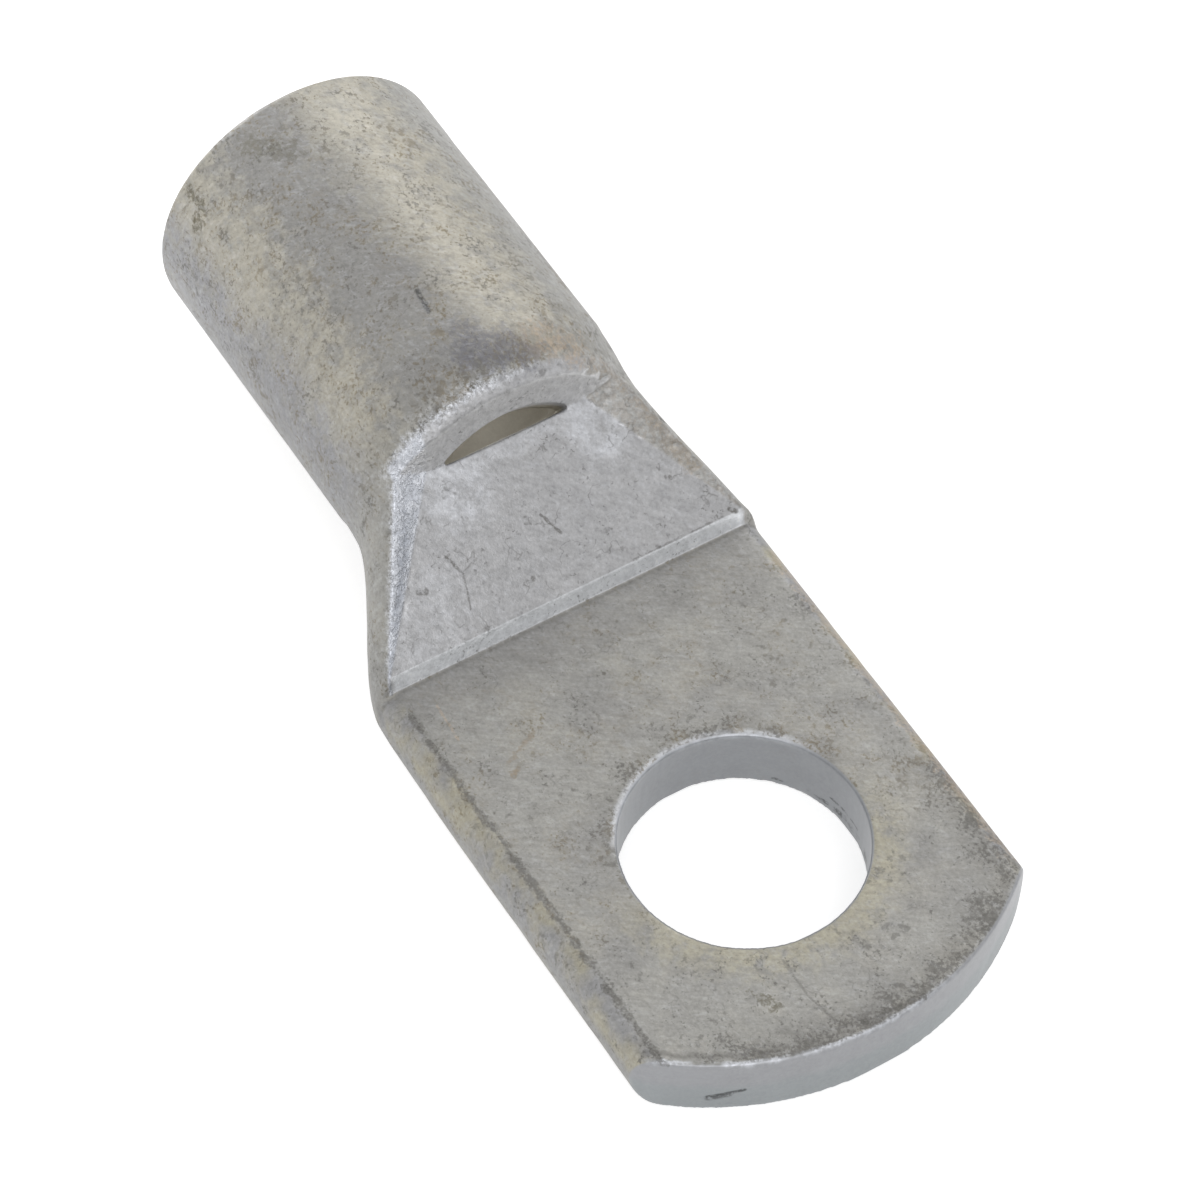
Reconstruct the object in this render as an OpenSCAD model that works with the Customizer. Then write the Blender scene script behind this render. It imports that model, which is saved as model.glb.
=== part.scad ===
// Tinned copper tube lug for a 35 mm2 cable and an M8 stud, in millimetres.
// One length of tube is left round as the barrel and pressed flat as the palm.
// The origin is the stud hole's centre on the contact face, the barrel points to +X.

/* [Palm] */
// Diameter of the stud hole
stud_hole_d = 8.4; // [6.4:0.1:10.5]
// Width of the palm over its folded sides
palm_w = 15.3; // [14:0.1:18]
// Thickness of the palm, two walls pressed together
palm_t = 2.6; // [2:0.05:3.4]
// Distance from the stud hole's centre to the tip of the palm
palm_tip = 8.4; // [7.5:0.05:11]
// Radius of the sheared end of the palm
tip_r = 11; // [9.5:0.5:30]
// Radius of the folded sides' edges
fold_r = 0.8; // [0.5:0.05:1]

/* [Barrel] */
// Outer diameter of the tube
barrel_d = 11; // [10:0.1:13]
// Wall thickness of the tube
wall = 1.3; // [1:0.05:1.8]
// Length of the straight barrel, from the neck to the mouth
barrel_l = 12.1; // [8:0.05:30]
// Radius of the rounded outer edge at the mouth
mouth_r = 0.2; // [0.1:0.05:0.6]
// Bevel on the mouth's inner edge
mouth_bevel = 0.2; // [0.1:0.05:0.5]

/* [Neck] */
// Distance from the stud hole's centre to the pressed step
step_x = 11; // [9:0.1:14]
// Height of the step above the palm
step_h = 0.7; // [0.3:0.05:1.2]
// How far the step leans back over its height
step_lean = 0.14; // [0.05:0.01:0.4]
// Length of palm before the step over which the underside turns round
keel_lead = 5; // [2:0.1:5]
// Length before the step at which the sides start to draw in
neck_lead = 0.3; // [0.1:0.1:1.5]
// Angle of the pressed ramp to the palm
ramp_angle = 45; // [35:1:55]
// Inset of the ramp's foot from the palm's sides
ramp_inset = 0.6; // [0.3:0.05:1.2]
// Width of the ramp's flat at its top
ramp_top_w = 6.25; // [5.6:0.05:7]
// Distance between the two ridges at the top of the ramp
ridge_top_w = 8.7; // [7.6:0.1:9.4]
// Length over which the neck grows round beyond the slit
neck_run = 2.35; // [1.2:0.05:4]

/* [Inspection slit] */
// Width of the slit between its pointed ends
slit_w = 5.1; // [3:0.1:5.5]
// Height of the slit's arched upper lip over the ramp's top edge
slit_rise = 1.2; // [0.6:0.05:1.6]
// How far the tube's top is drawn down above the slit
lip_drop = 1.05; // [0.4:0.05:1.4]
// Steepness of the slit's cut below the horizontal
slit_angle = 55; // [40:1:65]

/* [Hidden] */

barrel_r = barrel_d / 2;
bore_r = barrel_r - wall;
bite = 0.3;             // overlap of the neck, the hollow and the bore
seam = 0.04;            // the neck's last ring stays this far under the tube
nick = 0.05;            // the slit's cut into the ramp's top edge
lip_round = 0.3;        // rounding of the drawn edge over the slit
side_gap = 0.05;        // least distance from a ridge to the side
full_share = 0.45;      // share of the neck's run at which it is as wide as the barrel
keel_flat = 0.3;        // share of the lower points that lie on the flat underside
hollow_lead = 0.45;     // solid metal behind the ramp's foot, where the walls meet
hollow_step = 0.08;     // length of the hollow's step up from the ramp to the tube
slit_lead = 1.5;        // reach of the slit's cutter in front of the ramp's top edge
neck_r = barrel_r - seam;

slit_z = barrel_d - lip_drop - wall - slit_rise;
foot_x = step_x + step_lean;
foot_z = palm_t + step_h;
slit_x = foot_x + (slit_z - foot_z) / tan(ramp_angle);
keel_start = step_x - keel_lead;
neck_end = slit_x + neck_run;
mouth_x = neck_end + barrel_l;
hollow_x = foot_x + hollow_lead;
hollow_jump = slit_x + wall * sin(ramp_angle);
hollow_end = neck_end + 3 * bite;

flat_steps = 5;         // ring points on each half of the ramp's flat
band_steps = 2;         // ring points on the slope up to each ridge
side_steps = 12;        // ring points from a ridge down to the widest place
keel_steps = 18;        // ring points from there to the middle of the underside
edge_steps = 4;         // segments of the mouth's rounded edge

// Smooth step from 0 to 1 as x goes from a to b
function ease(x, a, b) = let(t = min(1, max(0, (x - a) / (b - a)))) t * t * (3 - 2 * t);
function mix(a, b, t) = a + (b - a) * t;
function share(x, a, b) = min(1, max(0, (x - a) / (b - a)));

// Half of the section's greatest width, and the height at which it lies
function half_w(x) = mix(palm_w / 2, neck_r, ease(x, step_x - neck_lead, slit_x + full_share * neck_run));
function mid_z(x) = mix(palm_t / 2, barrel_r, ease(x, step_x - 2 * neck_lead, neck_end));

// Top of the section at its middle, on the palm, on the ramp and on the drawn tube
function ramp_z(x) = foot_z + (x - foot_x) * tan(ramp_angle);
function drawn_z(x) =
    let(t = share(x, slit_x, neck_end), nose = 1 - share(x, slit_x, slit_x + lip_round))
    barrel_r + neck_r - lip_drop * pow(1 - t, 2) - lip_round * (1 - sqrt(1 - nose * nose));

// Height of the drawn tube's arch at y
function arch_z(x, y, top) = mid_z(x) + (top - mid_z(x)) * sqrt(1 - pow(y / half_w(x), 2));

// Half widths of the flat on top, and the ridge beside it as [y, z]
function flat_w(x) = x <= step_x ? half_w(x) - fold_r - side_gap
    : mix(palm_w / 2 - ramp_inset - nick, ramp_top_w / 2, share(x, foot_x, slit_x));
function ridge(x) =
    let(top_y = ridge_top_w / 2, t = share(x, foot_x, slit_x),
        top_z = arch_z(slit_x, top_y, barrel_d - lip_drop))
    x <= step_x ? [half_w(x) - fold_r, palm_t] : mix([palm_w / 2 - ramp_inset, foot_z], [top_y, top_z], t);

// Right half of the section's upper part, from the middle of the top to the side
function upper(x, top, arched) =
    let(w = half_w(x), mid = mid_z(x), flat = flat_w(x),
        r = arched ? [ridge(x)[0], arch_z(x, ridge(x)[0], top)] : ridge(x),
        c = x <= step_x ? r[0] : min(r[0], w - side_gap) * (1 - ease(x, step_x, mix(step_x, slit_x, 0.5))),
        a0 = asin((r[0] - c) / (w - c)), rise = (r[1] - mid) / cos(a0))
    concat([for (k = [0 : flat_steps + band_steps - 1])
                let(y = k <= flat_steps ? flat * k / flat_steps
                                        : mix(flat, r[0], (k - flat_steps) / band_steps))
                [y, arched ? arch_z(x, y, top) : k <= flat_steps ? top
                    : mix(top, r[1], (k - flat_steps) / band_steps)]],
           [for (k = [0 : side_steps - 1]) let(a = mix(a0, 90, k / side_steps))
                [c + (w - c) * sin(a), mid + rise * cos(a)]]);

// Right half of the lower part, from the side to the middle of the underside
function lower(x) =
    let(w = half_w(x), mid = mid_z(x), lift = seam * ease(x, slit_x, neck_end),
        t = ease(x, keel_start, slit_x), corner = 2 * fold_r / palm_w)
    [for (j = [keel_steps : -1 : 0])
        let(s = j / keel_steps, a = 90 * share(s, keel_flat, 1),
            pressed = [s <= keel_flat ? (1 - corner) * s / keel_flat : 1 - corner * (1 - sin(a)), 1 - cos(a)],
            tube = [sin(90 * s), 1 - cos(90 * s)], p = mix(pressed, tube, t))
        [w * p[0], lift + (mid - lift) * p[1]]];

// Whole section, mirrored across the middle
function section(half) = concat(half, [for (k = [len(half) - 2 : -1 : 1]) [-half[k][0], half[k][1]]]);

// The same section one wall further in, below a ceiling at the given height
function hollowed(half, x, top, ceiling) =
    let(mid = mid_z(x), w = half_w(x), inner_mid = (wall + ceiling) / 2)
    [for (p = half) [p[0] * (w - wall) / w,
        p[1] < mid ? inner_mid - (mid - p[1]) * (inner_mid - wall) / mid
                   : inner_mid + (min(p[1], top) - mid) * (ceiling - inner_mid) / (top - mid)]];

function outer_ring(x) = let(arched = x > slit_x)
    section(concat(upper(x, x <= step_x ? palm_t : arched ? drawn_z(x) : ramp_z(x), arched), lower(x)));
function inner_ring(x) = let(arched = x > hollow_jump, top = arched ? drawn_z(x) : ramp_z(x))
    section(hollowed(concat(upper(x, top, arched), lower(x)), x, top,
                     top - (arched ? wall : wall / cos(ramp_angle))));

// Solid through a list of sections, each at its own x, closed by a fan at each end
module loft(xs, rings) {
    n = len(rings[0]);
    last = len(rings) - 1;
    points = concat([for (i = [0 : last]) for (p = rings[i]) [xs[i], p[0], p[1]]],
                    [for (i = [0, last]) [xs[i], 0, (rings[i][0][1] + rings[i][n / 2][1]) / 2]]);
    sides = [for (i = [0 : last - 1]) for (j = [0 : n - 1]) let(a = i * n + j, b = i * n + (j + 1) % n)
        each [[a, b, b + n], [a, b + n, a + n]]];
    start = [for (j = [0 : n - 1]) [(j + 1) % n, j, n * (last + 1)]];
    end = [for (j = [0 : n - 1]) [last * n + j, last * n + (j + 1) % n, n * (last + 1) + 1]];
    polyhedron(points, concat(sides, start, end), convexity = 6);
}

function spread(a, b, n) = [for (i = [0 : n]) a + (b - a) * i / n];

module palm() {
    blank = keel_start + palm_tip + 1;
    intersection() {
        translate([keel_start - blank, 0, 0])
            rotate([90, 0, 90])
                linear_extrude(blank)
                    polygon(outer_ring(keel_start));
        union() {
            translate([tip_r - palm_tip, 0, -1])
                cylinder(h = palm_t + 2, r = tip_r, $fn = 180);
            translate([0, -palm_w, -1])
                cube([keel_start + 1, 2 * palm_w, palm_t + 2]);
        }
    }
}

// The pressed neck: swelling sides, step, ramp and the drawn edge over the slit
module neck() {
    lip = [for (i = [1 : 4]) slit_x + lip_round * pow(i / 4, 2)];
    xs = concat(spread(keel_start, step_x, 7), spread(foot_x, slit_x, 12), lip,
                spread(slit_x + 2 * lip_round, neck_end, 7), [neck_end + bite]);
    loft(xs, [for (x = xs) outer_ring(x)]);
}

module neck_hollow() {
    xs = concat(spread(hollow_x, hollow_jump, 8), spread(hollow_jump + hollow_step, neck_end, 4),
                [hollow_end]);
    loft(xs, [for (x = xs) inner_ring(x)]);
}

module barrel() {
    edge = [for (i = [0 : edge_steps]) let(a = 90 * i / edge_steps)
        [barrel_r - mouth_r + mouth_r * cos(a), barrel_l - mouth_r + mouth_r * sin(a)]];
    translate([neck_end, 0, barrel_r])
        rotate([0, 90, 0])
            rotate_extrude($fn = 96)
                polygon(concat([[0, 0], [barrel_r, 0]], edge, [[0, barrel_l]]));
}

module barrel_bore() {
    bore_l = barrel_l - 2 * bite;
    translate([mouth_x - bore_l, 0, barrel_r])
        rotate([0, 90, 0])
            rotate_extrude($fn = 96)
                polygon([[0, 0], [bore_r, 0], [bore_r, bore_l - mouth_bevel],
                         [bore_r + mouth_bevel, bore_l], [bore_r + mouth_bevel, bore_l + 1],
                         [0, bore_l + 1]]);
}

// A lens with a straight lower edge, driven down and back through the wall above the ramp
module slit() {
    rise = slit_rise * cos(slit_angle);
    arc_r = (pow(slit_w / 2, 2) + rise * rise) / (2 * rise);
    depth = slit_lead + (hollow_jump - slit_x + bite) / cos(slit_angle);
    translate([slit_x, 0, slit_z])
        rotate([0, 90 + slit_angle, 0])
            translate([0, 0, -slit_lead])
                intersection() {
                    translate([arc_r - rise, 0, 0]) cylinder(h = depth, r = arc_r, $fn = 96);
                    translate([-2 * rise, -slit_w, -1]) cube([2 * rise + nick, 2 * slit_w, depth + 2]);
                }
}

module lug() {
    color("silver")
        difference() {
            union() {
                palm();
                neck();
                barrel();
            }
            neck_hollow();
            barrel_bore();
            slit();
            translate([0, 0, -1])
                cylinder(h = palm_t + 2, d = stud_hole_d, $fn = 128);
        }
}

lug();
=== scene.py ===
import math
import bpy
import bmesh
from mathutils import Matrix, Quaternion, Vector, noise


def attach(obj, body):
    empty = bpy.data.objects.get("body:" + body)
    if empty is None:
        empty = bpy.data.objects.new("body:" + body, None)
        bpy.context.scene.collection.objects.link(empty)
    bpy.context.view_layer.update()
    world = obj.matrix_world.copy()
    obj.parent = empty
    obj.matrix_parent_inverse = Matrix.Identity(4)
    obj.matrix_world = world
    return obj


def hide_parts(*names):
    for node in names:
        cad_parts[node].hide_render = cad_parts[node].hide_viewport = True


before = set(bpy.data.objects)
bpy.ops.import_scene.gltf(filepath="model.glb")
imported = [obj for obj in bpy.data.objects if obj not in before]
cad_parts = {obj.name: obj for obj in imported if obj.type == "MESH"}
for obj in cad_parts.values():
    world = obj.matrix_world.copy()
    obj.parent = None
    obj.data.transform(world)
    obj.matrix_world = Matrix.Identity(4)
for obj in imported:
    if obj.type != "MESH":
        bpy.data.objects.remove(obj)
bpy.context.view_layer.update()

mm = 0.001

# where the lug's features lie, in millimetres
lugPlan = {
    "holeRadius": 4.2,
    "palmTop": 2.6,
    "foldLine": 6.88,
    "tip": 8.4,
    "tipRadius": 11.0,
    "stepX": 11.0,
    "footX": 11.14,
    "footZ": 3.3,
    "slitX": 15.29,
    "footFlat": 7.0,
    "topFlat": 3.13,
    "footRidge": 7.05,
    "topRidge": 4.35,
    "barrelRadius": 5.5,
    "boreRadius": 4.2,
}

# the metal skin over the frame's solid
skinValues = {
    "mergeGap": 0.000001,
    "voxel": 0.075,          # millimetres
    "smoothPasses": 4,
    "smoothFactor": 0.5,
    "bandRelief": 0.07,      # how deep the pressed bands and the drawn edge are chewed
    "dentRelief": 0.03,      # shallow waves over the whole skin
    "faces": 190000,
}


def finished(piece, name):
    # the piece's modifiers become its mesh
    depsgraph = bpy.context.evaluated_depsgraph_get()
    mesh = bpy.data.meshes.new_from_object(piece.evaluated_get(depsgraph))
    piece.modifiers.clear()
    piece.data = mesh
    mesh.name = name
    return piece


def chewed(x, y, z):
    # how much of the rough pressed relief a point takes, from 0 to 1
    plan = lugPlan
    t = min(1, max(0, (x - plan["footX"]) / (plan["slitX"] - plan["footX"])))
    flat = plan["footFlat"] + (plan["topFlat"] - plan["footFlat"]) * t
    ridge = plan["footRidge"] + (plan["topRidge"] - plan["footRidge"]) * t
    rampZ = plan["footZ"] + (x - plan["footX"])
    onBand = plan["footX"] < x < plan["slitX"] + 0.1 and z > rampZ - 0.25
    band = 1 if onBand and flat - 0.15 < abs(y) < ridge + 0.3 else 0
    rim = 1 if plan["slitX"] + 0.1 < x < plan["slitX"] + 0.75 and z > 7.3 and abs(y) < 4.6 else 0
    if rim and math.hypot(y, z - plan["barrelRadius"]) < plan["boreRadius"]:
        rim = 0
    return max(band, rim)


def makeSkin(node, values):
    work = bmesh.new()
    work.from_mesh(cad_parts[node].data)
    bmesh.ops.remove_doubles(work, verts=work.verts, dist=values["mergeGap"])
    bmesh.ops.scale(work, vec=(1 / mm,) * 3, verts=work.verts)
    mesh = bpy.data.meshes.new("lugSkin")
    work.to_mesh(mesh)
    work.free()
    piece = bpy.data.objects.new("lugSkin", mesh)
    bpy.context.scene.collection.objects.link(piece)
    fine = piece.modifiers.new("fineGrid", "REMESH")
    fine.mode = "VOXEL"
    fine.voxel_size = values["voxel"]
    finished(piece, "lugSkin")
    print("skin: fine grid of", len(piece.data.polygons), "faces")

    work = bmesh.new()
    work.from_mesh(piece.data)
    for turn in range(values["smoothPasses"]):
        bmesh.ops.smooth_vert(work, verts=work.verts, factor=values["smoothFactor"],
                              use_axis_x=True, use_axis_y=True, use_axis_z=True)
    work.normal_update()
    for vert in work.verts:
        at = vert.co.copy()
        depth = values["dentRelief"] * max(0, noise.noise(at * 0.45) * 0.7 + noise.noise(at * 1.3) * 0.3)
        rough = chewed(*at)
        if rough:
            depth += values["bandRelief"] * rough * max(0, noise.noise(at * 3.1) + 0.5 * noise.noise(at * 6.3))
        vert.co = at - vert.normal * depth
    bmesh.ops.scale(work, vec=(mm,) * 3, verts=work.verts)
    work.to_mesh(piece.data)
    work.free()
    thin = piece.modifiers.new("fewerFaces", "DECIMATE")
    thin.ratio = min(1, values["faces"] / (2 * len(piece.data.polygons)))
    finished(piece, "lugSkin")
    piece.data.polygons.foreach_set("use_smooth", [True] * len(piece.data.polygons))
    print("skin: done with", len(piece.data.polygons), "faces")
    return piece


def tone(red, green, blue):
    # a colour written 0 to 255 as the screen shows it
    def linear(value):
        value /= 255
        return value / 12.92 if value < 0.04045 else ((value + 0.055) / 1.055) ** 2.4
    return (linear(red), linear(green), linear(blue), 1)


class Bench:
    # short ways to place and join shader nodes
    def __init__(self, tree):
        self.tree = tree
        self.count = 0

    def add(self, kind, **settings):
        made = self.tree.nodes.new(kind)
        made.location = (220 * (self.count // 8), -190 * (self.count % 8))
        self.count += 1
        for name, value in settings.items():
            setattr(made, name, value)
        return made

    def feed(self, socket, value):
        if isinstance(value, bpy.types.NodeSocket):
            self.tree.links.new(value, socket)
        else:
            socket.default_value = value

    def calc(self, operation, *values):
        made = self.add("ShaderNodeMath", operation=operation)
        for socket, value in zip(made.inputs, values):
            self.feed(socket, value)
        return made.outputs[0]

    def both(self, *values):
        total = values[0]
        for value in values[1:]:
            total = self.calc("MULTIPLY", total, value)
        return total

    def either(self, *values):
        total = values[0]
        for value in values[1:]:
            total = self.calc("MAXIMUM", total, value)
        return total

    def held(self, value):
        # kept between 0 and 1 without the clamp option, which costs Cycles an extra node
        return self.calc("MINIMUM", self.calc("MAXIMUM", value, 0.0), 1.0)

    def fade(self, value, start, end):
        # 0 at start and 1 at end, whichever is greater
        made = self.add("ShaderNodeMapRange", interpolation_type="SMOOTHSTEP", clamp=False)
        self.feed(made.inputs["Value"], value)
        self.feed(made.inputs["From Min"], start)
        self.feed(made.inputs["From Max"], end)
        return made.outputs["Result"]

    def near(self, value, middle, reach):
        return self.fade(self.calc("ABSOLUTE", self.calc("SUBTRACT", value, middle)), reach, 0)

    def vector(self, operation, first, second=None):
        made = self.add("ShaderNodeVectorMath", operation=operation)
        self.feed(made.inputs[0], first)
        if second is not None:
            self.feed(made.inputs["Scale" if operation == "SCALE" else 1], second)
        return made.outputs["Value" if operation in ("DOT_PRODUCT", "LENGTH") else "Vector"]

    def noise(self, place, scale, detail=2.0, roughness=0.5):
        made = self.add("ShaderNodeTexNoise")
        self.feed(made.inputs["Vector"], place)
        self.feed(made.inputs["Scale"], scale)
        made.inputs["Detail"].default_value = detail
        made.inputs["Roughness"].default_value = roughness
        return made.outputs["Fac"]

    def turned(self, place, stretch, angle, shift=(0, 0, 0)):
        # a rotation first, then the stretch along the turned axes
        spun = self.add("ShaderNodeMapping")
        self.feed(spun.inputs["Vector"], place)
        spun.inputs["Location"].default_value = shift
        spun.inputs["Rotation"].default_value = [math.radians(a) for a in angle]
        made = self.add("ShaderNodeMapping")
        self.feed(made.inputs["Vector"], spun.outputs[0])
        made.inputs["Scale"].default_value = stretch
        return made.outputs[0]

    def blend(self, factor, first, second, kind="MIX"):
        made = self.add("ShaderNodeMix", data_type="RGBA", blend_type=kind)
        self.feed(made.inputs["Factor"], factor)
        self.feed(made.inputs[6], first)
        self.feed(made.inputs[7], second)
        return made.outputs[2]

    def group(self, tree, **values):
        made = self.add("ShaderNodeGroup", node_tree=tree)
        for name, value in values.items():
            self.feed(made.inputs[name[0].upper() + name[1:]], value)
        return made.outputs[0]


def newGroup(name, inputs, output="Mask"):
    tree = bpy.data.node_groups.new(name, "ShaderNodeTree")
    for label, kind, value in inputs:
        socket = tree.interface.new_socket(label, in_out="INPUT", socket_type=kind)
        socket.default_value = value
    tree.interface.new_socket(output, in_out="OUTPUT", socket_type="NodeSocketFloat")
    bench = Bench(tree)
    given = bench.add("NodeGroupInput").outputs
    result = bench.add("NodeGroupOutput").inputs[0]
    return tree, bench, given, result


def makeSpecks():
    # small dark tarnish specks in clusters, more of them where dirt is high
    tree, bench, given, result = newGroup("tarnishSpecks", [
        ("Place", "NodeSocketVector", (0, 0, 0)), ("Size", "NodeSocketFloat", 0.3),
        ("Dirt", "NodeSocketFloat", 0.0)])
    grain = bench.noise(given["Place"], bench.calc("DIVIDE", 1.0, given["Size"]), 3, 0.6)
    cluster = bench.noise(given["Place"], bench.calc("DIVIDE", 0.16, given["Size"]), 1, 0.5)
    level = bench.calc("ADD", grain, bench.calc("MULTIPLY", bench.calc("SUBTRACT", cluster, 0.5), 0.45))
    level = bench.calc("ADD", level, bench.calc("MULTIPLY", given["Dirt"], 0.13))
    bench.feed(result, bench.fade(level, 0.6, 0.72))
    return tree


def makeHairs():
    # thin wandering hairlines, broken up along their length
    tree, bench, given, result = newGroup("hairlines", [
        ("Place", "NodeSocketVector", (0, 0, 0)), ("Spacing", "NodeSocketFloat", 1.5),
        ("Width", "NodeSocketFloat", 0.02), ("Amount", "NodeSocketFloat", 0.5)])
    scale = bench.calc("DIVIDE", 1.0, given["Spacing"])
    field = bench.noise(given["Place"], scale, 3, 0.5)
    line = bench.fade(bench.calc("ABSOLUTE", bench.calc("SUBTRACT", field, 0.5)), given["Width"], 0)
    gaps = bench.noise(given["Place"], bench.calc("MULTIPLY", scale, 1.7), 1, 0.5)
    least = bench.calc("SUBTRACT", 0.75, bench.calc("MULTIPLY", given["Amount"], 0.4))
    bench.feed(result, bench.both(line, bench.fade(gaps, least, bench.calc("ADD", least, 0.06))))
    return tree


def makeMark():
    # one scratch, stain or nick between two points, added to the marks before it
    tree, bench, given, result = newGroup("singleMark", [
        ("Before", "NodeSocketFloat", 0.0), ("Place", "NodeSocketVector", (0, 0, 0)),
        ("Torn", "NodeSocketFloat", 0.0), ("Start", "NodeSocketVector", (0, 0, 0)),
        ("Along", "NodeSocketVector", (1, 0, 0)), ("Share", "NodeSocketVector", (1, 0, 0)),
        ("Width", "NodeSocketFloat", 0.1), ("Core", "NodeSocketFloat", 0.03),
        ("Ragged", "NodeSocketFloat", 0.0), ("Strength", "NodeSocketFloat", 1.0)])
    away = bench.vector("SUBTRACT", given["Place"], given["Start"])
    share = bench.held(bench.vector("DOT_PRODUCT", away, given["Share"]))
    rest = bench.vector("SUBTRACT", away, bench.vector("SCALE", given["Along"], share))
    reach = bench.calc("MULTIPLY_ADD", given["Torn"], given["Ragged"], bench.vector("LENGTH", rest))
    shape = bench.add("ShaderNodeMapRange", interpolation_type="SMOOTHSTEP", clamp=False)
    for socket, name in (("From Min", "Width"), ("From Max", "Core"), ("To Max", "Strength")):
        bench.feed(shape.inputs[socket], given[name])
    bench.feed(shape.inputs["Value"], reach)
    bench.feed(result, bench.either(given["Before"], shape.outputs["Result"]))
    return tree


def addMark(bench, tree, before, place, torn, start, end, width, ragged, strength):
    along = Vector(end) - Vector(start)
    return bench.group(tree, before=before, place=place, torn=torn, start=start, along=along, share=along / along.length_squared,
                       width=width, core=0.3 * width, ragged=2 * ragged, strength=strength)


tinTones = {
    "tarnish": tone(153, 152, 148),
    "shade": tone(141, 140, 138),
    "beige": tone(171, 167, 156),
    "yellow": tone(168, 162, 139),
    "clean": tone(171, 171, 173),
    "bright": tone(222, 225, 232),
    "blue": tone(172, 177, 187),
    "paleBlue": tone(196, 200, 208),
    # painted light: the step face's two tones
    "step": tone(245, 248, 252),
    "stepEdge": tone(206, 208, 211),
    "bore": tone(147, 149, 152),
    "endFace": tone(152, 153, 156),
    "endLow": tone(146, 151, 153),
    # painted light: the lip wall's tone
    "lip": tone(215, 215, 216),
    "cool": tone(147, 147, 149),
    # painted light: the pale inside of the hollow
    "inside": tone(200, 196, 186),
    "speck": tone(92, 90, 86),
    "black": tone(52, 53, 54),
    "rust": tone(174, 157, 137),
    "umber": tone(120, 107, 80),
    # painted shade over the shoulder
    "paintedShade": tone(112, 112, 119),
    "bandTarnish": tone(147, 142, 134),
    "brown": tone(134, 120, 100),
    "olive": tone(96, 92, 76),
}

# marks seen on the lug, among them a painted shade over the shoulder and a painted highlight at its near end: start and
# end in millimetres, width, raggedness, colour and strength
tinMarks = [
    ((9.9, 6.95, 2.6), (-6.2, 6.85, 2.6), 0.17, 0.42, "speck", 0.7),
    ((19.76, 0.84, 10.94), (18.81, 0.93, 10.92), 0.12, 0.12, "black", 0.75),
    ((29.22, 4.4, 8.8), (28.44, 4.44, 8.75), 0.22, 0.7, "olive", 0.75),
    ((28.44, 4.44, 8.75), (28.1, 4.8, 8.2), 0.32, 0.9, "olive", 0.8),
    ((22.71, -3.33, 9.88), (22.68, -3.33, 9.88), 0.09, 0.05, "speck", 0.8),
    ((28.6, 2.2, 10.5), (27.4, 1.4, 10.8), 0.5, 1.6, "olive", 0.5),
    ((16.3, -1.9, 10.7), (15.6, -3.6, 9.6), 0.9, 1.4, "rust", 0.65),
    ((15.4, -4.0, 8.6), (12.6, -5.9, 5.0), 0.45, 0.8, "brown", 0.45),
    # painted shade: a dark patch over the shoulder above the slit
    ((16.9, 0.4, 10.9), (15.7, -1.0, 10.9), 1.2, 1.8, "paintedShade", 0.75),
    ((9.88, 5.95, 2.6), (8.29, 6.07, 2.6), 0.06, 0.12, "rust", 0.5),
    ((6.63, 5.04, 2.6), (7.23, 3.9, 2.6), 0.14, 0.4, "brown", 0.5),
    ((6.3, 4.9, 2.6), (6.1, 5.2, 2.6), 0.18, 0.3, "brown", 0.65),
    ((9.5, -7.3, 2.4), (-5.0, -7.3, 2.4), 0.4, 0.7, "rust", 0.45),
    ((-5.6, 2.75, 2.6), (-6.0, 2.6, 2.6), 0.17, 0.8, "olive", 0.75),
    ((-5.1, 3.0, 2.6), (-5.7, 2.9, 2.6), 0.09, 0.5, "olive", 0.6),
    ((-6.89, 2.84, 2.6), (-7.3, 2.53, 2.6), 0.3, 0.8, "speck", 0.3),
    ((-4.62, 1.45, 2.6), (-6.2, 1.5, 2.6), 0.08, 0.1, "speck", 0.45),
    ((-6.2, 1.5, 2.6), (-7.4, 1.25, 2.6), 0.08, 0.12, "speck", 0.5),
    ((-7.95, 0.5, 2.6), (-8.1, -1.7, 2.6), 0.14, 0.4, "speck", 0.8),
    ((13.19, -0.08, 5.35), (12.58, -0.52, 4.74), 0.07, 0.14, "speck", 0.75),
    ((13.28, 3.62, 5.44), (12.7, 3.24, 4.86), 0.07, 0.12, "speck", 0.8),
    ((12.66, 3.24, 4.82), (11.85, 3.45, 4.01), 0.06, 0.14, "speck", 0.6),
    ((12.75, 3.2, 4.9), (12.9, 2.6, 5.06), 0.05, 0.1, "speck", 0.45),
    ((11.83, 1.01, 3.99), (11.87, 1.0, 4.03), 0.12, 0.08, "speck", 0.7),
    ((12.68, -4.93, 4.84), (12.62, -4.95, 4.78), 0.09, 0.06, "speck", 0.65),
    ((12.75, 4.95, 4.9), (12.7, 4.7, 4.86), 0.14, 0.15, "speck", 0.7),
    # painted highlight: a bright patch down the near end of the shoulder
    ((15.2, 3.9, 7.7), (14.2, 4.5, 6.9), 0.9, 0.8, "bright", 0.25),
    ((11.2, -2.6, 3.37), (11.2, -6.2, 3.37), 0.05, 0.15, "speck", 0.55),
    ((11.32, -6.52, 3.48), (11.18, -6.75, 3.34), 0.11, 0.08, "speck", 0.9),
    ((-6.83, 5.66, 0.76), (-7.37, 4.64, 1.1), 0.13, 0.05, "black", 0.9),
    ((-6.85, 5.62, 0.7), (-7.1, 5.1, 0.86), 0.22, 0.1, "black", 0.75),
    ((2.88, -3.05, 0.3), (1.06, -4.06, 0.35), 0.1, 0.16, "black", 0.85),
    ((0.66, -4.15, 0.4), (-1.65, -3.86, 0.5), 0.2, 0.35, "black", 0.9),
    ((0.9, -4.1, 0.8), (-0.6, -4.16, 0.85), 0.09, 0.15, "black", 0.8),
]

tinValues = {
    "metallic": 0.6,
    "roughness": 0.46,
    "grainHeight": 0.007,     # millimetres
    "crystalHeight": 0.03,
}


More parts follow.
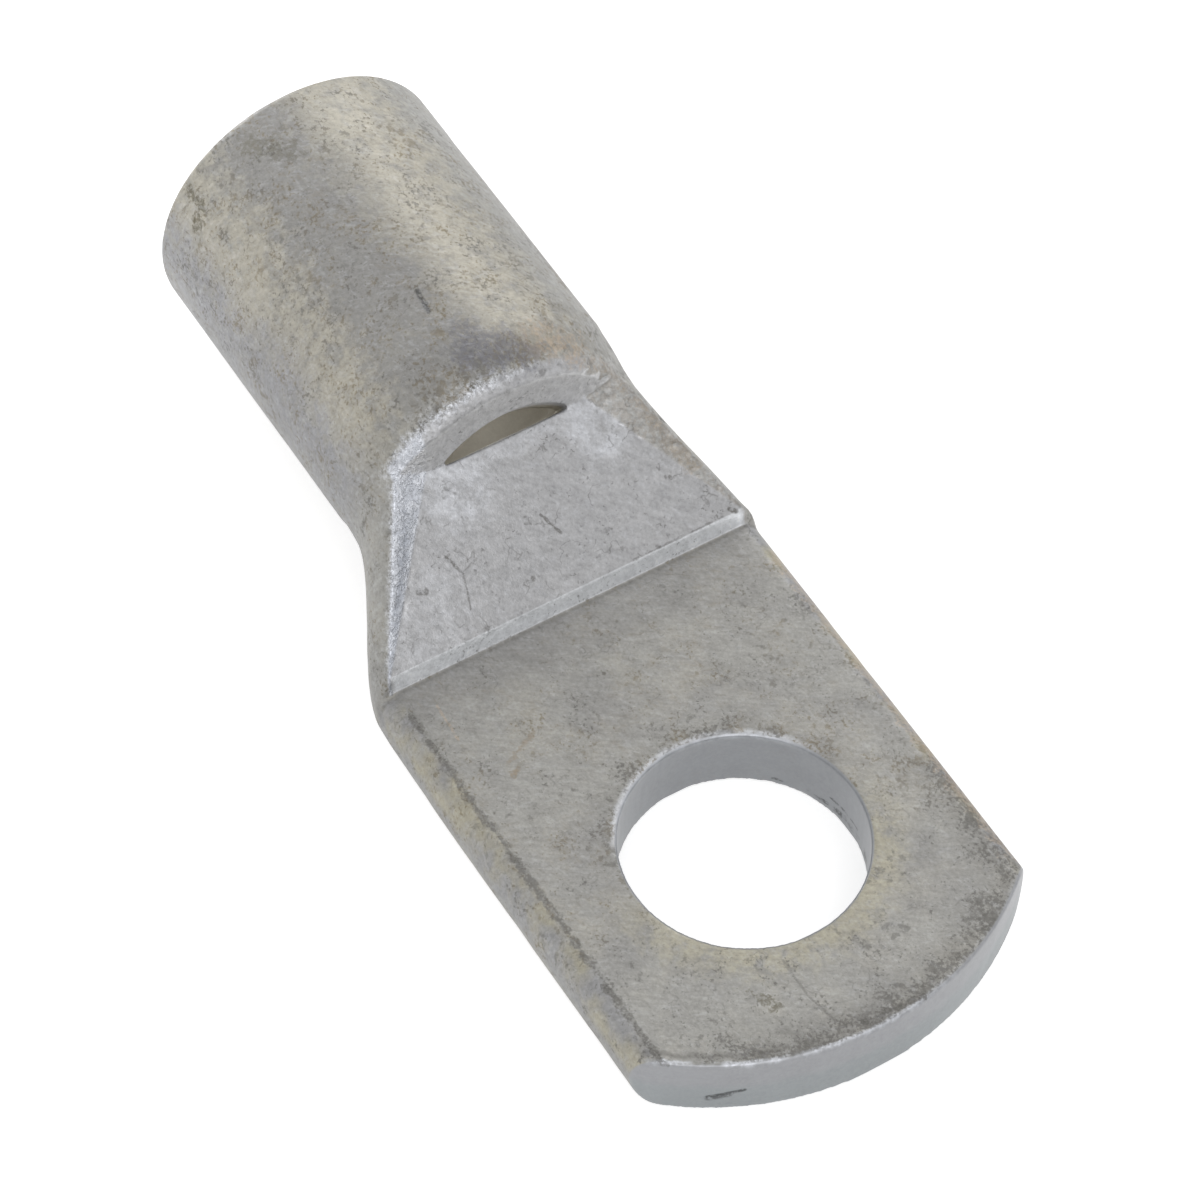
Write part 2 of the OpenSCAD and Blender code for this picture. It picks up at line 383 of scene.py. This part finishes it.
def makeTin(plan, tones, marks, values):
    material = bpy.data.materials.new("tarnishedTin")
    material.use_nodes = True
    tree = material.node_tree
    tree.nodes.clear()
    bench = Bench(tree)
    specks, hairs, mark = makeSpecks(), makeHairs(), makeMark()

    where = bench.add("ShaderNodeTexCoord")
    scaled = bench.add("ShaderNodeMapping")
    tree.links.new(where.outputs["Object"], scaled.inputs["Vector"])
    scaled.inputs["Scale"].default_value = (1 / mm,) * 3
    place = scaled.outputs[0]
    split = bench.add("ShaderNodeSeparateXYZ")
    bench.feed(split.inputs[0], place)
    x, y, z = split.outputs
    side = bench.calc("ABSOLUTE", y)
    facing = bench.add("ShaderNodeSeparateXYZ")
    bench.feed(facing.inputs[0], where.outputs["Normal"])
    up = facing.outputs["Z"]

    cloud = bench.noise(place, 0.32, 3, 0.6)
    cloudTwo = bench.noise(bench.turned(place, (1, 1, 1), (20, 10, 35), (7, 3, 5)), 0.55, 3, 0.6)
    ragged = bench.calc("SUBTRACT", bench.noise(place, 2.6, 3, 0.65), 0.5)
    fine = bench.noise(place, 8.0, 3, 0.7)
    mottle = bench.noise(place, 1.7, 4, 0.7)
    brushed = bench.noise(bench.turned(place, (7, 0.8, 3), (0, 0, 38)), 1.0, 2, 0.6)

    # places on the lug, each a mask from 0 to 1
    hole = bench.calc("SQRT", bench.calc("ADD", bench.both(x, x), bench.both(y, y)))
    fromTip = bench.calc("SUBTRACT", x, plan["tipRadius"] - plan["tip"])
    tip = bench.calc("SQRT", bench.calc("ADD", bench.both(fromTip, fromTip), bench.both(y, y)))
    onTip = bench.fade(x, 2, 1)
    rise = bench.calc("SUBTRACT", z, plan["barrelRadius"])
    radius = bench.calc("SQRT", bench.calc("ADD", bench.both(y, y), bench.both(rise, rise)))
    angle = bench.calc("DEGREES", bench.calc("ARCTAN2", y, rise))
    onPalm = bench.fade(x, plan["stepX"] + 0.1, plan["stepX"] - 0.1)
    boreWall = bench.fade(hole, plan["holeRadius"] + 0.12, plan["holeRadius"] + 0.05)
    endFace = bench.either(bench.both(bench.fade(tip, plan["tipRadius"] - 0.13, plan["tipRadius"] - 0.06), onTip),
                           bench.both(bench.fade(facing.outputs["X"], 0.75, 0.92), bench.fade(x, 29.4, 29.6)))
    run = bench.held(bench.calc("DIVIDE", bench.calc("SUBTRACT", x, plan["footX"]), plan["slitX"] - plan["footX"]))
    flatY = bench.calc("ADD", plan["footFlat"], bench.calc("MULTIPLY", run, plan["topFlat"] - plan["footFlat"]))
    ridgeY = bench.calc("ADD", plan["footRidge"], bench.calc("MULTIPLY", run, plan["topRidge"] - plan["footRidge"]))
    overRamp = bench.calc("SUBTRACT", bench.calc("SUBTRACT", z, x), plan["footZ"] - plan["footX"])
    pressedX = bench.both(bench.fade(x, plan["stepX"] - 0.04, plan["stepX"] + 0.02),
                          bench.fade(x, plan["slitX"] + 0.5, plan["slitX"] + 0.3))
    insideRidge = bench.fade(bench.calc("SUBTRACT", side, ridgeY), 0.12, -0.02)
    pressed = bench.both(pressedX, insideRidge, bench.fade(overRamp, -0.9, -0.75))
    band = bench.both(pressed, bench.fade(bench.calc("SUBTRACT", side, flatY), -0.05, 0.08))
    stepFace = bench.both(bench.fade(x, plan["stepX"] - 0.04, plan["stepX"] + 0.01),
                          bench.fade(x, plan["footX"] + 0.16, plan["footX"] + 0.04), bench.fade(z, 2.45, 2.6),
                          bench.fade(up, 0.66, 0.52), bench.fade(side, 7.1, 6.8))
    ridgeLine = bench.both(pressedX, bench.near(bench.calc("ADD", bench.calc("SUBTRACT", side, ridgeY),
                           bench.calc("MULTIPLY", ragged, 0.6)), 0, 0.28), bench.fade(overRamp, -0.5, -0.2), bench.fade(x, 11.15, 11.7))
    rim = bench.both(bench.near(bench.calc("ADD", x, bench.calc("MULTIPLY", ragged, 0.7)), plan["slitX"] + 0.42, 0.34),
                     bench.fade(z, 7.2, 7.8), bench.fade(radius, plan["boreRadius"] + 0.1, plan["boreRadius"] + 0.3),
                     bench.fade(side, 5.0, 4.2))
    outward = bench.fade(bench.both(facing.outputs["Y"], bench.calc("SIGN", y)), -0.05, 0.15)
    inHollow = bench.both(bench.fade(overRamp, -1.0, -1.3), bench.fade(z, 1.0, 1.15), bench.fade(x, 11.3, 11.5),
                          bench.fade(side, 6.4, 6.2), bench.fade(x, 17.2, 16.6), bench.calc("SUBTRACT", 1.0, outward))
    inside = bench.either(inHollow, bench.both(bench.fade(radius, plan["boreRadius"] + 0.16, plan["boreRadius"] + 0.06),
                                               bench.fade(x, plan["slitX"] + 0.25, plan["slitX"] + 0.5)))
    onBarrel = bench.fade(bench.calc("ADD", x, bench.calc("MULTIPLY", ragged, 2.0)), 15.2, 17.4)
    outside = bench.calc("SUBTRACT", 1.0, inside)

    # tarnished ground colour; the barrel's colours by angle also hold a painted reflection, and the palm's darkening
    # towards the step is painted shade
    colour = bench.blend(bench.calc("MULTIPLY", bench.fade(cloud, 0.4, 0.7), 0.6), tones["tarnish"], tones["shade"])
    colour = bench.blend(bench.calc("MULTIPLY", bench.fade(cloudTwo, 0.42, 0.7), 0.25), colour, tones["beige"])
    # the barrel's colour by angle: partly its own beige and grey tarnish, partly a painted reflection, a darker band
    # running along its middle
    bands = bench.add("ShaderNodeValToRGB")
    spot = bench.calc("ADD", bench.calc("DIVIDE", angle, 360.0), bench.calc("MULTIPLY", bench.calc("SUBTRACT", mottle, 0.5), 0.12))
    spot = bench.calc("ADD", spot, bench.calc("MULTIPLY", bench.calc("SUBTRACT", cloud, 0.5), 0.06))
    bench.feed(bands.inputs[0], bench.calc("ADD", spot, 0.5))
    stops = [(0.0, "tarnish"), (0.3, "shade"), (0.38, "tarnish"), (0.43, "beige"), (0.49, "beige"),
             (0.53, "shade"), (0.585, "shade"), (0.63, "beige"), (0.66, "beige"), (0.71, "cool"), (0.78, "cool"), (1.0, "tarnish")]
    ramp = bands.color_ramp
    for position, name in stops[1:-1]:
        ramp.elements.new(position)
    for element, (position, name) in zip(ramp.elements, stops):
        element.position = position
        element.color = tones[name]
    colour = bench.blend(bench.both(onBarrel, bench.fade(mottle, 0.2, 0.6)), colour, bands.outputs[0])
    # painted shade: the palm darkens towards the foot of the step, and takes fewer specks there
    stepShade = bench.both(onPalm, bench.fade(bench.calc("ADD", x, bench.calc("MULTIPLY", ragged, 1.2)), 8.0, 10.9), bench.fade(up, 0.6, 0.9))
    colour = bench.blend(bench.calc("MULTIPLY", stepShade, 0.75), colour, tones["shade"])
    yellowRing = bench.both(onPalm, bench.fade(bench.calc("ADD", hole, bench.calc("MULTIPLY", ragged, 1.8)), 5.9, 4.4), bench.fade(x, 1.0, -2.5), bench.fade(mottle, 0.3, 0.55))
    folded = bench.both(onPalm, bench.fade(bench.calc("ADD", side, bench.calc("MULTIPLY", ragged, 0.5)), 6.85, 7.1), bench.fade(z, 0.9, 1.5))
    warm = bench.either(bench.calc("MULTIPLY", yellowRing, 0.55), bench.both(folded, bench.fade(cloudTwo, 0.36, 0.62), bench.fade(z, 1.2, 1.9), 0.62))
    colour = bench.blend(bench.both(folded, 0.7), colour, tones["cool"])
    colour = bench.blend(warm, colour, tones["yellow"])

    # dirt settles along the palm's edges and round the hole; the darkening over the shoulder is painted shade, with
    # more specks there
    tipDirt = bench.both(onTip, bench.fade(tip, 9.2, 10.8), bench.fade(y, 6.5, 4.0), 1.12)
    sideDirt = bench.both(onPalm, bench.fade(y, -5.4, -7.0), bench.fade(x, 2.5, -2.0))
    holeDirt = bench.both(onPalm, bench.fade(hole, 5.3, 4.4), bench.fade(x, 0.3, 2.5), 0.8)
    foldDirt = bench.both(onPalm, bench.near(side, plan["foldLine"], 0.4), 0.4)
    # painted shade: the barrel's top darkens over the shoulder, where it rolls down to the slit
    shoulderShadeAndDirt = bench.both(bench.fade(x, 17.5, 16.0), bench.fade(x, 15.5, 15.9), bench.fade(angle, 50.0, 20.0), bench.fade(angle, -35.0, -10.0))
    dirt = bench.either(tipDirt, sideDirt, holeDirt, foldDirt, shoulderShadeAndDirt, bench.calc("MULTIPLY", onBarrel, 0.22))
    # dark mottling: real dirt at the tip, the sides and the hole, painted shade over the shoulder
    grimeAndShade = bench.both(bench.either(tipDirt, sideDirt, bench.calc("MULTIPLY", holeDirt, 0.6), shoulderShadeAndDirt), bench.fade(mottle, 0.3, 0.62), 0.46)
    colour = bench.blend(grimeAndShade, colour, tones["speck"])
    clean = bench.either(pressed, endFace, boreWall, inside)
    dirt = bench.calc("SUBTRACT", dirt, bench.calc("MULTIPLY", clean, 0.3))
    dirt = bench.calc("SUBTRACT", dirt, bench.calc("MULTIPLY", stepShade, 0.35))
    small = bench.group(specks, place=place, size=0.13, dirt=dirt)
    large = bench.group(specks, place=bench.turned(place, (1, 1, 1), (0, 0, 50), (11, 4, 9)), size=0.32, dirt=bench.calc("SUBTRACT", dirt, 0.2))
    dark = bench.both(bench.either(small, bench.calc("MULTIPLY", large, 0.75)), 0.55, bench.calc("SUBTRACT", 1.0, bench.calc("MULTIPLY", bench.either(endFace, boreWall, band), 0.9)))

    # the die's clean faces, with painted highlights on the ramp, the pressed bands, the ridge and the rim, and painted
    # light on the step and the lip wall
    colour = bench.blend(bench.calc("MULTIPLY", pressed, 0.9), colour, tones["clean"])
    # painted highlight: white patches on the ramp below the slit and on the near band
    rampHighlight = 0.0
    for start, end, width, strength in (((15.1, 3.0, 7.3), (14.6, 2.4, 6.8), 1.9, 1.0), ((15.0, -3.1, 7.2), (14.4, -3.4, 6.6), 1.6, 1.0),
                                        ((15.2, 2.6, 7.4), (15.2, -2.6, 7.4), 0.9, 0.6), ((12.4, 4.3, 4.6), (11.7, 5.4, 3.9), 1.7, 0.45)):
        rampHighlight = addMark(bench, mark, rampHighlight, place, ragged, start, end, width, 0.7, strength)
    colour = bench.blend(bench.both(rampHighlight, pressed, bench.fade(mottle, 0.25, 0.7), 0.42), colour, tones["bright"])
    crystal = bench.fade(bench.noise(place, 4.6, 3, 0.75), 0.42, 0.6)
    bandMiddle = bench.near(bench.calc("ADD", bench.calc("SUBTRACT", side, bench.calc("MULTIPLY", bench.calc("ADD", flatY, ridgeY), 0.5)),
                            bench.calc("MULTIPLY", ragged, 0.3)), 0, 0.4)
    # the near band: partly bright crystalline tin, partly a painted highlight, pale at its borders and bluer in the
    # middle; the far band keeps its tarnish
    bandTinAndHighlight = bench.blend(bench.both(bandMiddle, bench.fade(x, 15.3, 14.2)), bench.blend(bench.fade(crystal, 0.1, 0.7), tones["paleBlue"], tones["bright"]),
                           bench.blend(crystal, tones["blue"], tones["paleBlue"]))
    nearSide = bench.fade(y, -1.0, 1.0)
    colour = bench.blend(bench.both(band, nearSide, 0.8), colour, bandTinAndHighlight)
    colour = bench.blend(bench.both(band, bench.calc("SUBTRACT", 1.0, nearSide), 0.75), colour, bench.blend(bench.fade(crystal, 0.1, 0.9), tones["bandTarnish"], tones["tarnish"]))
    # painted highlight: bright glints along the pressed ridge and the slit's rim, stronger on the near side
    sparkle = bench.either(ridgeLine, rim)
    ridgeRimHighlight = bench.both(sparkle, bench.either(bench.fade(y, -3.0, 1.5), 0.15))
    colour = bench.blend(bench.both(ridgeRimHighlight, bench.fade(fine, 0.35, 0.65), 0.75), colour, tones["bright"])
    ribs = bench.calc("SINE", bench.calc("MULTIPLY", bench.calc("ADD", y, bench.calc("MULTIPLY", ragged, 0.5)), 52.0))
    # painted light: the step face is near white where it faces the front and greyer where it turns up, standing in for
    # light from that side
    litStepTone = bench.blend(bench.both(bench.calc("MULTIPLY_ADD", ribs, 0.1, 0.2), bench.fade(fine, 0.2, 0.7)), tones["step"], tones["bright"])
    litStepTone = bench.blend(bench.fade(up, 0.1, 0.5), litStepTone, tones["stepEdge"])
    # painted shade: a thin dark line at the foot of the step, where the palm meets it
    stepCornerShade = bench.both(bench.near(bench.calc("ADD", x, bench.calc("MULTIPLY", ragged, 0.1)), plan["stepX"] - 0.08, 0.12), bench.fade(z, 2.9, 2.7), bench.fade(up, 0.1, 0.4))
    colour = bench.blend(bench.calc("MULTIPLY", stepCornerShade, 0.35), colour, tones["speck"])
    colour = bench.blend(stepFace, colour, litStepTone)
    # painted light: the lip wall under the slit's rim is brightened, standing in for light from the front
    litLipWall = bench.both(bench.fade(x, plan["slitX"] - 0.15, plan["slitX"]), bench.fade(x, plan["slitX"] + 0.6, plan["slitX"] + 0.45),
                         bench.fade(facing.outputs["X"], -0.35, -0.65), bench.fade(up, 0.3, 0.1), bench.fade(z, 6.6, 7.2))
    colour = bench.blend(litLipWall, colour, tones["lip"])

    # cut faces and the inside, with painted highlights along the tip's and the hole's top edges and painted light in
    # the hollow
    endLow = bench.both(bench.fade(bench.calc("ADD", z, bench.calc("MULTIPLY", mottle, 0.8)), 2.0, 1.5), 0.8)
    colour = bench.blend(endFace, colour, bench.blend(endLow, tones["endFace"], tones["endLow"]))
    colour = bench.blend(boreWall, colour, tones["bore"])
    # painted highlight: bright lines along the top edges of the tip and the hole, the tip's stronger towards the near
    # side
    tipEdgeHighlight = bench.both(onTip, bench.near(bench.calc("ADD", tip, bench.calc("MULTIPLY", ragged, 0.3)), 10.88, 0.12), bench.near(z, plan["palmTop"], 0.3), bench.fade(cloudTwo, 0.4, 0.5),
                         bench.calc("MULTIPLY_ADD", bench.fade(y, -4.0, -0.5), 0.8, 0.2))
    holeEdgeHighlight = bench.both(bench.near(bench.calc("ADD", hole, bench.calc("MULTIPLY", ragged, 0.3)), plan["holeRadius"] + 0.12, 0.22), bench.near(z, plan["palmTop"], 0.3), bench.fade(x, 1.2, 3.0), 0.8)
    tipLine = bench.both(onTip, bench.near(bench.calc("ADD", tip, bench.calc("MULTIPLY", ragged, 0.35)), 10.6, 0.16), bench.fade(z, 2.3, 2.5), bench.fade(y, 1.0, 5.0))
    colour = bench.blend(bench.calc("MULTIPLY", tipLine, 0.45), colour, tones["speck"])
    colour = bench.blend(bench.both(bench.either(tipEdgeHighlight, holeEdgeHighlight), 0.65), colour, tones["bright"])
    # painted light: the hollow's inside is pale, standing in for light that reaches in
    colour = bench.blend(inside, colour, tones["inside"])

    # specks, hairlines, fibres and the single marks, then a brightness texture that also paints light towards the
    # barrel's mouth
    marked = bench.calc("SUBTRACT", 1.0, bench.either(endFace, boreWall, inside, stepFace))
    warmDirt = bench.blend(bench.both(bench.fade(cloudTwo, 0.38, 0.58), bench.fade(x, -3.0, 1.0), bench.calc("SUBTRACT", 1.0, pressed)), tones["speck"], tones["umber"])
    colour = bench.blend(bench.both(dark, outside), colour, warmDirt)
    cracks = bench.group(hairs, place=place, spacing=1.3, width=0.014, amount=0.5)
    colour = bench.blend(bench.both(cracks, marked, bench.calc("MULTIPLY_ADD", pressed, 0.15, 0.3)), colour, tones["speck"])
    patchy = bench.fade(bench.calc("ADD", fine, bench.calc("MULTIPLY", ragged, 0.6)), 0.26, 0.55)
    for name in dict.fromkeys(entry[4] for entry in marks):
        found = 0.0
        for start, end, width, torn, used, strength in marks:
            if used == name:
                found = addMark(bench, mark, found, place, ragged, start, end, width, torn, strength)
        colour = bench.blend(bench.both(found, patchy), colour, tones[name])
    fibres = []
    for turn, shift in ((25, 3), (75, 11)):
        fibre = bench.noise(bench.turned(place, (6.5, 2.0, 3.5), (0, 0, turn), (shift, 0, shift)), 1.0, 3, 0.6)
        fibres.append((bench.fade(fibre, 0.55, 0.7), bench.fade(fibre, 0.44, 0.3)))
    paleFibre = bench.both(bench.either(fibres[0][0], fibres[1][0]), marked)
    darkFibre = bench.both(bench.either(fibres[0][1], fibres[1][1]), marked)
    colour = bench.blend(bench.both(paleFibre, bench.calc("MULTIPLY_ADD", onPalm, -0.05, 0.12)), colour, tones["bright"])
    colour = bench.blend(bench.calc("MULTIPLY", darkFibre, 0.18), colour, warmDirt)
    shine = bench.calc("ADD", bench.calc("MULTIPLY", bench.calc("SUBTRACT", fine, 0.5), 0.6), bench.both(bench.calc("SUBTRACT", bench.calc("ADD", brushed, mottle), 1.0), bench.calc("MULTIPLY_ADD", pressed, 0.1, 0.35)))
    light = bench.calc("ADD", bench.both(shine, bench.calc("SUBTRACT", 1.0, bench.calc("MULTIPLY", bench.either(endFace, boreWall, inside), 0.65))), 1.0)
    # painted light: the barrel brightens towards its mouth
    light = bench.calc("MULTIPLY_ADD", bench.fade(x, 22.0, 29.0), 0.1, light)
    lit = bench.add("ShaderNodeCombineColor")
    for socket in lit.inputs:
        bench.feed(socket, light)
    colour = bench.blend(1.0, colour, lit.outputs[0], "MULTIPLY")

    # height in millimetres
    smoothFaces = bench.calc("SUBTRACT", 1.0, bench.calc("MULTIPLY", bench.either(endFace, boreWall), 0.8))
    grain = bench.both(fine, values["grainHeight"], smoothFaces)
    height = bench.calc("ADD", grain, bench.both(crystal, bench.either(band, sparkle, bench.calc("MULTIPLY", pressed, 0.2)), bench.calc("MULTIPLY_ADD", nearSide, 0.8, 0.2), values["crystalHeight"]))
    bump = bench.add("ShaderNodeBump")
    bump.inputs["Distance"].default_value = mm
    bench.feed(bump.inputs["Height"], height)

    metal = bench.add("ShaderNodeBsdfPrincipled")
    bench.feed(metal.inputs["Base Color"], colour)
    metal.inputs["Metallic"].default_value = values["metallic"]
    rough = bench.calc("ADD", values["roughness"], bench.calc("MULTIPLY", dark, 0.25))
    rough = bench.calc("SUBTRACT", rough, bench.calc("MULTIPLY", bench.either(pressed, sparkle, endFace, boreWall), 0.08))
    bench.feed(metal.inputs["Roughness"], bench.calc("ADD", rough, bench.calc("MULTIPLY", bench.calc("SUBTRACT", cloud, 0.5), 0.15)))
    bench.feed(metal.inputs["Normal"], bump.outputs[0])
    out = bench.add("ShaderNodeOutputMaterial")
    tree.links.new(metal.outputs[0], out.inputs[0])
    print("tin:", len(tree.nodes), "shader nodes")
    return material


lug = makeSkin("lug", skinValues)
lug.data.materials.clear()
lug.data.materials.append(makeTin(lugPlan, tinTones, tinMarks, tinValues))
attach(lug, "root")
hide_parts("lug")

studio = {
    "floorTone": (0.86, 0.86, 0.86, 1),
    "floorGlow": 0.6,        # lifts the floor to white where it is seen or reflected
    "floorSize": 4.0,
    "floorDrop": 0.00002,
    "skyDiffuse": 0.57,
    "softboxes": [            # place, power in watts, size in metres
        ((-0.34, 0.16, 0.42), 0.52, 0.34),
        ((0.22, -0.34, 0.36), 0.42, 0.30),
        ((-0.46, 0.06, 0.12), 0.12, 0.30),
        ((0.45, 0.05, 0.13), 0.5, 0.22),
    ],
    "aim": (0.010, 0.0, 0.003),
}


def seenDirectly(bench):
    # 1 for what the camera, a reflection or a glass sees
    path = bench.add("ShaderNodeLightPath").outputs
    return bench.either(path["Is Camera Ray"], path["Is Glossy Ray"], path["Is Transmission Ray"])


def makeStudio(values):
    sheet = bmesh.new()
    bmesh.ops.create_grid(sheet, x_segments=1, y_segments=1, size=values["floorSize"] / 2)
    bmesh.ops.translate(sheet, vec=(0, 0, -values["floorDrop"]), verts=sheet.verts)
    mesh = bpy.data.meshes.new("floor")
    sheet.to_mesh(mesh)
    sheet.free()
    floor = bpy.data.objects.new("floor", mesh)
    bpy.context.scene.collection.objects.link(floor)
    paper = bpy.data.materials.new("palePaper")
    paper.use_nodes = True
    paper.node_tree.nodes.clear()
    bench = Bench(paper.node_tree)
    shader = bench.add("ShaderNodeBsdfPrincipled")
    shader.inputs["Base Color"].default_value = values["floorTone"]
    shader.inputs["Roughness"].default_value = 0.9
    shader.inputs["Specular IOR Level"].default_value = 0.1
    shader.inputs["Emission Color"].default_value = (1, 1, 1, 1)
    bench.feed(shader.inputs["Emission Strength"], bench.both(seenDirectly(bench), values["floorGlow"]))
    out = bench.add("ShaderNodeOutputMaterial")
    paper.node_tree.links.new(shader.outputs[0], out.inputs[0])
    mesh.materials.append(paper)

    world = bpy.data.worlds.new("whiteRoom")
    bpy.context.scene.world = world
    world.use_nodes = True
    world.node_tree.nodes.clear()
    bench = Bench(world.node_tree)
    sky = bench.add("ShaderNodeBackground")
    sky.inputs["Color"].default_value = (1, 1, 1, 1)
    level = bench.calc("MULTIPLY_ADD", seenDirectly(bench), 1 - values["skyDiffuse"], values["skyDiffuse"])
    bench.feed(sky.inputs["Strength"], level)
    out = bench.add("ShaderNodeOutputWorld")
    world.node_tree.links.new(sky.outputs[0], out.inputs[0])

    for number, (place, power, size) in enumerate(values["softboxes"]):
        lamp = bpy.data.lights.new("softbox%d" % number, "AREA")
        lamp.energy = power
        lamp.size = size
        box = bpy.data.objects.new(lamp.name, lamp)
        box.location = place
        box.rotation_mode = "QUATERNION"
        box.rotation_quaternion = (Vector(values["aim"]) - Vector(place)).to_track_quat("-Z", "Y")
        bpy.context.scene.collection.objects.link(box)
    print("studio: floor, room and", len(values["softboxes"]), "softboxes")


# the photograph's viewpoint
camera = {
    "place": (-0.0794836, 0.0573337, 0.1477788),
    "look": (0.499824, -0.323127, -0.803595),
    "roll": 1.6857,
    "lens": 159.132,
}


def makeCamera(values):
    eye = bpy.data.cameras.new("viewpoint")
    eye.lens = values["lens"]
    eye.sensor_width = 36
    eye.clip_start = 0.005
    eye.clip_end = 10
    stand = bpy.data.objects.new("viewpoint", eye)
    stand.location = values["place"]
    stand.rotation_mode = "QUATERNION"
    aimed = Vector(values["look"]).to_track_quat("-Z", "Y")
    stand.rotation_quaternion = aimed @ Quaternion((0, 0, 1), math.radians(values["roll"]))
    bpy.context.scene.collection.objects.link(stand)
    bpy.context.scene.camera = stand
    print("camera: set")


makeStudio(studio)
makeCamera(camera)
bpy.context.scene.view_settings.view_transform = "Standard"
